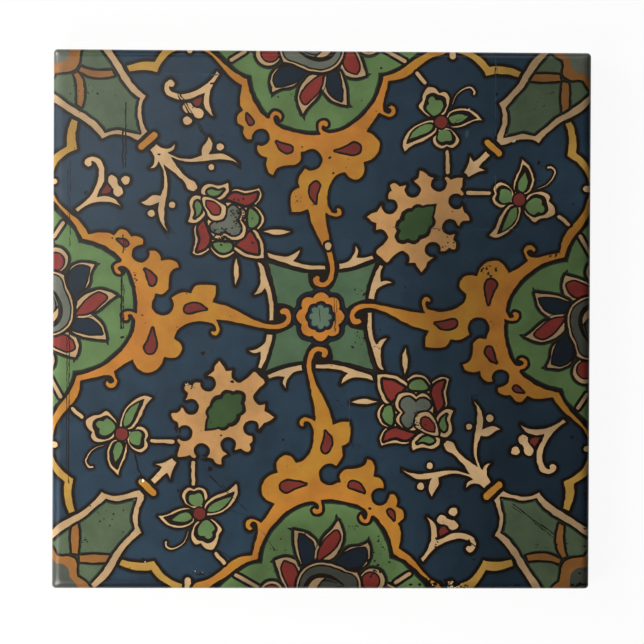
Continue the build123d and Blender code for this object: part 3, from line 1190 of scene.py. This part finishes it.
def darks_shading_and_darkening(points):
    """Painted shade on the ground, the lines and the navy: darker to the right, most in the lower right and
    along the bottom edge, less round a spot near the right edge, over the enamels' own shade and darkening.
    """
    x, y = points[:, 0], points[:, 1]
    # Less painted shade round a spot near the right edge
    lifted_shade = 0.75 * (1 - ramp(np.hypot(x - 49, y - 26), 5, 14))
    # Painted shade to the right, more in the lower right
    right = ramp(x, 5, 38) * (0.3 + 0.27 * ramp(-y, -15, 35)) * (1 - lifted_shade)
    # Painted shade along the bottom edge
    lower_edge = 0.5 * ramp(-y, 51.4, 53)
    return np.max([enamel_shading_and_darkening(points), right, lower_edge], axis=0)


def grey_shading_and_darkening(points):
    """How much darker the grey enamel is: painted shade on the right and in the right palmette over the
    enamels' own shade and darkening, and darker towards the bottom.
    """
    x, y = points[:, 0], points[:, 1]
    right = 0.25 * ramp(x, 35, 48) * (1 - ramp(np.abs(y), 17, 24))
    return np.minimum(enamel_shading_and_darkening(points) + 0.45 * ramp(-y, 15, 40) + right, 0.7)


def tile_mesh(settings):
    """One closed mesh: painted face, sides, foot and keyed back."""
    half, thickness = settings.edge_length / MM / 2, settings.thickness / MM
    face_points, face_triangles, paint_of = painted_face(half, thickness)
    rim = rim_loop(face_triangles)
    points = [tuple(p) for p in face_points]
    faces = [tuple(int(i) for i in tri) for tri in face_triangles]
    paints = [int(p) for p in paint_of]
    sides_from = len(faces)
    rim_xy = face_points[rim, :2]
    first = len(points)
    points += [(x, y, FOOT_HEIGHT) for x, y in rim_xy]
    foot_xy = draw_in_foot(rim_xy, half)
    back_points, back_faces, outer = keyed_back(foot_xy)
    back_first = len(points)
    points += back_points
    count = len(rim)
    for k in range(count):
        nxt = (k + 1) % count
        faces.append((rim[nxt], rim[k], first + k, first + nxt))
        faces.append((first + nxt, first + k, back_first + outer[k], back_first + outer[nxt]))
    back_from = len(faces)
    faces += [tuple(back_first + i for i in face) for face in back_faces]
    paints += [PAINTS.index("bisque")] * (len(faces) - len(paints))
    mesh = bpy.data.meshes.new("painted_tile")
    mesh.from_pydata([(x * MM, y * MM, z * MM) for x, y, z in points], [], faces)
    mesh.polygons.foreach_set("material_index", paints)
    # Painted shade and darkening for the enamels, and the ochre's turn towards yellow
    shades = {"tone": lightness, "fired": enamel_shading_and_darkening, "pooled": darks_shading_and_darkening, "stained": grey_shading_and_darkening}
    for name, shade_at in shades.items():
        shade = mesh.attributes.new(name, "FLOAT", "POINT")
        shade.data.foreach_set("value", shade_at(np.array(points)[:, :2]))
    bake = mesh.uv_layers.new(name="OFBake")
    place_on_bake_map(mesh, bake, half, thickness, sides_from, back_from)
    mesh.shade_smooth()
    mesh.set_sharp_from_angle(angle=math.radians(40))
    mesh.update()
    return mesh


def place_on_bake_map(mesh, bake, half, thickness, sides_from, back_from):
    """Lays the face on most of the map, and the sides and the back beside it."""
    margin, face_share = 0.01, 0.8
    beside, strip_pitch, strip_width, strip_length = 0.83, 0.04, 0.034, 0.78
    back_share = 0.16
    co = np.zeros(len(mesh.vertices) * 3)
    mesh.vertices.foreach_get("co", co)
    co = co.reshape(-1, 3) / MM
    uv = np.zeros((len(mesh.loops), 2))
    for poly in mesh.polygons:
        loops = list(poly.loop_indices)
        p = co[[mesh.loops[i].vertex_index for i in loops]]
        if poly.index < sides_from:
            uv[loops] = margin + face_share * (p[:, :2] + half) / (2 * half)
        elif poly.index < back_from:
            mid = p.mean(axis=0)
            wide = abs(mid[0]) > abs(mid[1])
            strip = (0 if wide else 2) + (1 if (mid[0] if wide else mid[1]) > 0 else 0)
            along = p[:, 1] if wide else p[:, 0]
            uv[loops, 0] = beside + strip_pitch * strip + strip_width * p[:, 2] / thickness
            uv[loops, 1] = margin + strip_length * (along + half) / (2 * half)
        else:
            uv[loops] = beside + back_share * (p[:, :2] + half) / (2 * half)
    bake.data.foreach_set("uv", uv.ravel())


# Finishes


def blank_material(name):
    """A material with an empty node tree."""
    material = bpy.data.materials.new(name)
    material.use_nodes = True
    material.node_tree.nodes.clear()
    return material, material.node_tree


def noise(tree, place, size, detail, roughness=0.5):
    """Noise whose patches are about this many millimetres."""
    values = {"Vector": place, "Scale": 1 / (size * MM), "Detail": detail, "Roughness": roughness}
    return node(tree, "ShaderNodeTexNoise", values).outputs["Fac"]


def spread(tree, value, low, high, most=1.0):
    """A value spread over the range from 0 to the most."""
    values = {"Value": value, "From Min": low, "From Max": high, "To Min": 0.0, "To Max": most}
    return node(tree, "ShaderNodeMapRange", values).outputs["Result"]


def mixed(tree, share, first, second):
    """A colour between two colours."""
    return node(tree, "ShaderNodeMix", {0: share, 6: first, 7: second}, data_type="RGBA").outputs[2]


def enamel(name, colour, shade, flecked=0.0, second=None, darkened="fired"):
    """Brush-painted enamel under a clear glaze: colour that pools unevenly, dark flecks, painted shade across
    the tile and a soft sheen.
    """
    material, tree = blank_material(name)
    place = node(tree, "ShaderNodeTexCoord").outputs["Object"]
    thick = spread(tree, noise(tree, place, 5, 5.0, 0.62), 0.34, 0.66)
    start = colour
    if second:
        tone = node(tree, "ShaderNodeAttribute", attribute_name="tone")
        start = mixed(tree, tone.outputs["Fac"], colour, second)
    painted = mixed(tree, thick, start, shade)
    if flecked:
        grains = {0: noise(tree, place, 0.7, 3.0, 0.6), 1: noise(tree, place, 6, 2.0)}
        both = node(tree, "ShaderNodeMath", grains, operation="ADD")
        marks = spread(tree, both.outputs[0], 1.38 - flecked, 1.44 - flecked, 0.85)
        painted = mixed(tree, marks, painted, linear("#0d0b09"))
    # Painted shade: the colour darkens towards black by the shade attribute, most on the right and in the
    # lower right
    darker = node(tree, "ShaderNodeAttribute", attribute_name=darkened)
    painted = mixed(tree, darker.outputs["Fac"], painted, (0.0, 0.0, 0.0, 1.0))
    shader = node(
        tree, "ShaderNodeBsdfPrincipled", {"Base Color": painted, "Roughness": 0.28, "IOR": 1.5})
    node(tree, "ShaderNodeOutputMaterial", {"Surface": shader.outputs["BSDF"]})
    return material


def bisque(name, colour, shade):
    """Unglazed clay from the kiln: dry, pale and finely speckled."""
    material, tree = blank_material(name)
    place = node(tree, "ShaderNodeTexCoord").outputs["Object"]
    grog = noise(tree, place, 0.9, 5.0, 0.7)
    body = mixed(tree, noise(tree, place, 14, 3.0), colour, shade)
    painted = mixed(tree, spread(tree, grog, 0.6, 0.72, 0.45), body, shade)
    bump = node(tree, "ShaderNodeBump", {"Height": grog, "Strength": 0.5, "Distance": 0.1 * MM})
    shader = node(
        tree, "ShaderNodeBsdfPrincipled",
        {"Base Color": painted, "Roughness": 0.85, "IOR": 1.5, "Normal": bump.outputs["Normal"]})
    node(tree, "ShaderNodeOutputMaterial", {"Surface": shader.outputs["BSDF"]})
    return material


def hue(default, name, description):
    """A colour that a user may change."""
    return bpy.props.FloatVectorProperty(
        name=name, description=description, default=linear(default), size=4, subtype="COLOR",
        min=0.0, max=1.0)


class TileSettings(bpy.types.PropertyGroup):
    """Sizes of the tile."""

    edge_length: bpy.props.FloatProperty(
        name="Edge length", description="Side of the square tile", default=CAD_BOX[1][0] - CAD_BOX[0][0],
        unit="LENGTH", min=0.02)
    thickness: bpy.props.FloatProperty(
        name="Thickness", description="Back plane to glazed face", default=CAD_BOX[1][2] - CAD_BOX[0][2],
        unit="LENGTH", min=0.003)


class EnamelSettings(bpy.types.PropertyGroup):
    """Colours of the painted enamels."""

    line: hue("#1a1007", "Outline", "Black-brown line round each shape")
    ground: hue("#243644", "Ground", "Blue ground")
    deep_ground: hue("#1f2e3a", "Deep ground", "Ground where it pools beside a line")
    green: hue("#5b7546", "Green", "Field of the palmettes and petals")
    deep_green: hue("#232d22", "Deep green edge", "Green where it pools beside a line")
    field: hue("#4b6348", "Middle green", "Field in the middle")
    leaf: hue("#4e5c44", "Leaf green", "Corner leaves")
    gear_leaf: hue("#39522d", "Leaf of the rosettes", "Leaf of the toothed rosettes")
    grey: hue("#5f6357", "Grey green", "Calyx, hearts and corner pieces")
    cream: hue("#bf9d72", "Cream", "Rims, stems and sprigs")
    rim: hue("#ae906a", "Rim", "Rims of the palmettes and corner leaves")
    tan: hue("#be8e58", "Tan", "Toothed rosettes")
    ochre: hue("#b2722c", "Ochre", "Scrollwork")
    ochre_light: hue("#ae7e2c", "Light ochre", "Outer lobes of the scrollwork")
    yellow: hue("#a8823b", "Yellow", "Bands along the edge")
    brown: hue("#875a2c", "Brown", "Bands in the corners")
    red: hue("#7d2d26", "Red", "Drops, petals and eyes")
    maroon: hue("#6b2a23", "Maroon", "Drops in the scrollwork")
    navy: hue("#16212c", "Navy", "Dark petals")
    star: hue("#576b58", "Star", "Star in the middle")
    gap: hue("#2b2722", "Gap", "Bare strip between two lines")
    pale: hue("#35444f", "Pale wear", "Pale scratches and flakes")
    white: hue("#e2dccf", "Chips", "Chips down to the white body")
    bisque: hue("#d9c6ae", "Clay", "Unglazed sides and back")


class TILE_OT_painted_tile(bpy.types.Operator):
    """Makes the tile as one closed mesh with its painted face"""

    bl_idname = "tile.painted_tile"
    bl_label = "Painted tile"

    def execute(self, context):
        size = context.scene.tile_size
        inks = context.scene.tile_enamels
        mesh = tile_mesh(size)
        for paint in PAINTS:
            written = getattr(inks, paint)
            colour = [min(1.0, c * THIN_COAT) for c in written[:3]] + [1.0]
            shade = [c * THICK_COAT for c in written[:3]] + [1.0]
            if paint == "bisque":
                material = bisque("fired_clay", colour, shade)
            elif paint == "ochre":
                material = enamel("enamel_ochre", colour, shade, 0.0, inks.ochre_light)
            else:
                flecked, darkened = FLECKED.get(paint, 0.0), DARKENED.get(paint, "fired")
                material = enamel("enamel_" + paint, colour, shade, flecked, None, darkened)
            mesh.materials.append(material)
        tile = bpy.data.objects.new("painted_tile", mesh)
        context.collection.objects.link(tile)
        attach(tile, "root")
        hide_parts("tile")
        return {"FINISHED"}


def speck_scatter():
    """Node tree that scatters flat little beads over a face, with its inputs by name."""
    tree = bpy.data.node_groups.new("speck_scatter", "GeometryNodeTree")
    plug = tree.interface.new_socket
    plug("Geometry", in_out="INPUT", socket_type="NodeSocketGeometry")
    named = {
        "Per area": plug("Per area", in_out="INPUT", socket_type="NodeSocketFloat"),
        "Radius": plug("Radius", in_out="INPUT", socket_type="NodeSocketFloat"),
        "Seed": plug("Seed", in_out="INPUT", socket_type="NodeSocketInt"),
        "Material": plug("Material", in_out="INPUT", socket_type="NodeSocketMaterial"),
    }
    plug("Geometry", in_out="OUTPUT", socket_type="NodeSocketGeometry")
    given = node(tree, "NodeGroupInput").outputs
    spots = node(
        tree, "GeometryNodeDistributePointsOnFaces",
        {"Mesh": given["Geometry"], "Density": given["Per area"], "Seed": given["Seed"]})
    bead = node(tree, "GeometryNodeMeshIcoSphere", {"Radius": given["Radius"], "Subdivisions": 2})
    wide = node(tree, "FunctionNodeRandomValue", {2: 0.25, 3: 1.0, "Seed": given["Seed"]}, data_type="FLOAT")
    long = node(tree, "FunctionNodeRandomValue", {2: 0.2, 3: 0.8, "ID": 3}, data_type="FLOAT")
    scale = node(tree, "ShaderNodeCombineXYZ", {"X": wide.outputs[1], "Y": long.outputs[1], "Z": 0.1})
    placed = node(
        tree, "GeometryNodeInstanceOnPoints",
        {"Points": spots.outputs["Points"], "Instance": bead.outputs["Mesh"],
         "Scale": scale.outputs["Vector"]})
    real = node(tree, "GeometryNodeRealizeInstances", {"Geometry": placed.outputs["Instances"]})
    coated = node(
        tree, "GeometryNodeSetMaterial",
        {"Geometry": real.outputs["Geometry"], "Material": given["Material"]})
    node(tree, "NodeGroupOutput", {"Geometry": coated.outputs["Geometry"]})
    return tree, named


def flat_square(name, reach, height):
    """A level square round the middle."""
    mesh = bpy.data.meshes.new(name)
    corners = [(-reach, -reach), (reach, -reach), (reach, reach), (-reach, reach)]
    mesh.from_pydata([(x, y, height) for x, y in corners], [], [(0, 1, 2, 3)])
    return mesh


class SpeckSettings(bpy.types.PropertyGroup):
    """Specks in the glaze."""

    count: bpy.props.IntProperty(
        name="Count", description="About how many specks the face has", default=170, min=1)
    radius: bpy.props.FloatProperty(
        name="Radius", description="Radius of the largest speck", default=0.17 * MM, unit="LENGTH", min=1e-5)
    seed: bpy.props.IntProperty(name="Seed", description="Which scatter is used", default=5, min=0)
    colour: hue("#14100c", "Colour", "Dark iron specks")


class TILE_OT_glaze_specks(bpy.types.Operator):
    """Scatters dark iron specks over the flat of the face"""

    bl_idname = "tile.glaze_specks"
    bl_label = "Glaze specks"

    def execute(self, context):
        size, specks = context.scene.tile_size, context.scene.tile_specks
        reach = size.edge_length / 2 - 2 * CUSHION_WIDTH * MM
        holder = bpy.data.objects.new("flat", flat_square("flat", reach, size.thickness))
        context.collection.objects.link(holder)
        shade = [c * 0.6 for c in specks.colour[:3]] + [1.0]
        tree, named = speck_scatter()
        scatter = holder.modifiers.new("scatter", "NODES")
        scatter.node_group = tree
        scatter[named["Per area"].identifier] = specks.count / (2 * reach) ** 2
        scatter[named["Radius"].identifier] = specks.radius
        scatter[named["Seed"].identifier] = specks.seed
        scatter[named["Material"].identifier] = enamel("iron_speck", list(specks.colour), shade)
        seen = holder.evaluated_get(context.evaluated_depsgraph_get())
        mesh = bpy.data.meshes.new_from_object(seen)
        mesh.name = "glaze_specks"
        holder.modifiers.remove(scatter)
        bpy.data.objects.remove(holder)
        if not mesh.polygons:
            raise RuntimeError("no speck was made")
        piece = bpy.data.objects.new("glaze_specks", mesh)
        context.collection.objects.link(piece)
        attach(piece, "root")
        return {"FINISHED"}


class TILE_OT_stage(bpy.types.Operator):
    """Makes the white floor, the soft lights and the camera"""

    bl_idname = "tile.stage"
    bl_label = "Stage"

    def execute(self, context):
        scene = context.scene
        scene.view_settings.view_transform = "Standard"
        # The floor lies a little under the tile, and most of its white is its own light
        floor_reach, floor_height, own_light = 4, -0.0002, 0.93
        mesh = flat_square("floor", floor_reach, floor_height)
        floor = bpy.data.objects.new("floor", mesh)
        scene.collection.objects.link(floor)
        material, tree = blank_material("white_paper")
        seen = node(tree, "ShaderNodeLightPath").outputs["Is Camera Ray"]
        share = node(tree, "ShaderNodeMath", {0: seen, 1: own_light}, operation="MULTIPLY")
        paper = node(tree, "ShaderNodeBsdfDiffuse", {"Color": linear("#f2f2f2")})
        lit = node(tree, "ShaderNodeEmission", {"Color": (1, 1, 1, 1), "Strength": 1.0})
        both = node(
            tree, "ShaderNodeMixShader", {0: share.outputs[0], 1: paper.outputs[0], 2: lit.outputs[0]})
        node(tree, "ShaderNodeOutputMaterial", {"Surface": both.outputs[0]})
        mesh.materials.append(material)

        world = bpy.data.worlds.new("studio")
        scene.world = world
        world.use_nodes = True
        world.node_tree.nodes["Background"].inputs["Color"].default_value = (1, 1, 1, 1)
        world.node_tree.nodes["Background"].inputs["Strength"].default_value = 0.025

        def softbox(name, at, towards, width, height, radiance):
            lamp = bpy.data.lights.new(name, "AREA")
            lamp.shape = "RECTANGLE"
            lamp.size, lamp.size_y = width, height
            lamp.energy = radiance * math.pi * width * height
            holder = bpy.data.objects.new(name, lamp)
            holder.location = at
            aim = Vector(towards) - Vector(at)
            holder.rotation_mode = "QUATERNION"
            holder.rotation_quaternion = aim.to_track_quat("-Z", "Y")
            holder.visible_camera = False
            scene.collection.objects.link(holder)

        softbox("near_key", (-0.157, -0.146, 0.16), (0, 0, 0), 0.14, 0.14, 9.3)
        softbox("far_key", (-0.547, 0.305, 0.292), (0, 0, 0), 0.346, 0.346, 11.6)
        softbox("overhead_panel", (-0.294, 0.137, 0.616), (-0.294, 0.137, 0), 0.488, 0.279, 2.2)
        softbox("top_strip", (0.02, 0.36, 0.3), (0.0, 0.05, 0), 0.6, 0.14, 1.0)

        # Camera: it looks straight down from a little left of the middle
        lens_height, width_seen, sensor_width = 0.6, 0.130523, 36.0
        camera_data = bpy.data.cameras.new("camera")
        camera_data.sensor_width = sensor_width
        camera_data.lens = sensor_width * lens_height / width_seen
        camera_data.clip_start = 0.01
        camera = bpy.data.objects.new("camera", camera_data)
        camera.location = (-0.02244, 0.00485, lens_height)
        aim = Vector((-0.00004, -0.00042, 0.0052)) - camera.location
        right = aim.cross(Vector((0, 1, 0))).normalized()
        up = right.cross(aim).normalized()
        roll = math.radians(0.2607)
        turned_up = up * math.cos(roll) - right * math.sin(roll)
        turned_right = right * math.cos(roll) + up * math.sin(roll)
        back = -aim.normalized()
        camera.rotation_mode = "QUATERNION"
        turned = Matrix((turned_right, turned_up, back)).transposed()
        camera.rotation_quaternion = turned.to_quaternion()
        scene.collection.objects.link(camera)
        scene.camera = camera
        return {"FINISHED"}


class TILE_PT_sidebar(bpy.types.Panel):
    """Lists the sizes, the colours and the steps."""

    bl_idname = "TILE_PT_sidebar"
    bl_label = "Arabesque tile"
    bl_space_type = "VIEW_3D"
    bl_region_type = "UI"
    bl_category = "Tile"

    def draw(self, context):
        for group in (context.scene.tile_size, context.scene.tile_enamels, context.scene.tile_specks):
            for name in type(group).__annotations__:
                self.layout.prop(group, name)
        for operator in (TILE_OT_painted_tile, TILE_OT_glaze_specks, TILE_OT_stage):
            self.layout.operator(operator.bl_idname)


CLASSES = (
    TileSettings,
    EnamelSettings,
    SpeckSettings,
    TILE_OT_painted_tile,
    TILE_OT_glaze_specks,
    TILE_OT_stage,
    TILE_PT_sidebar,
)


def register():
    for cls in CLASSES:
        bpy.utils.register_class(cls)
    bpy.types.Scene.tile_size = bpy.props.PointerProperty(type=TileSettings)
    bpy.types.Scene.tile_enamels = bpy.props.PointerProperty(type=EnamelSettings)
    bpy.types.Scene.tile_specks = bpy.props.PointerProperty(type=SpeckSettings)


def unregister():
    del bpy.types.Scene.tile_specks
    del bpy.types.Scene.tile_enamels
    del bpy.types.Scene.tile_size
    for cls in reversed(CLASSES):
        bpy.utils.unregister_class(cls)


def main():
    register()
    bpy.ops.tile.painted_tile()
    bpy.ops.tile.glaze_specks()
    bpy.ops.tile.stage()
    bpy.context.view_layer.update()


if __name__ == "__main__":
    main()
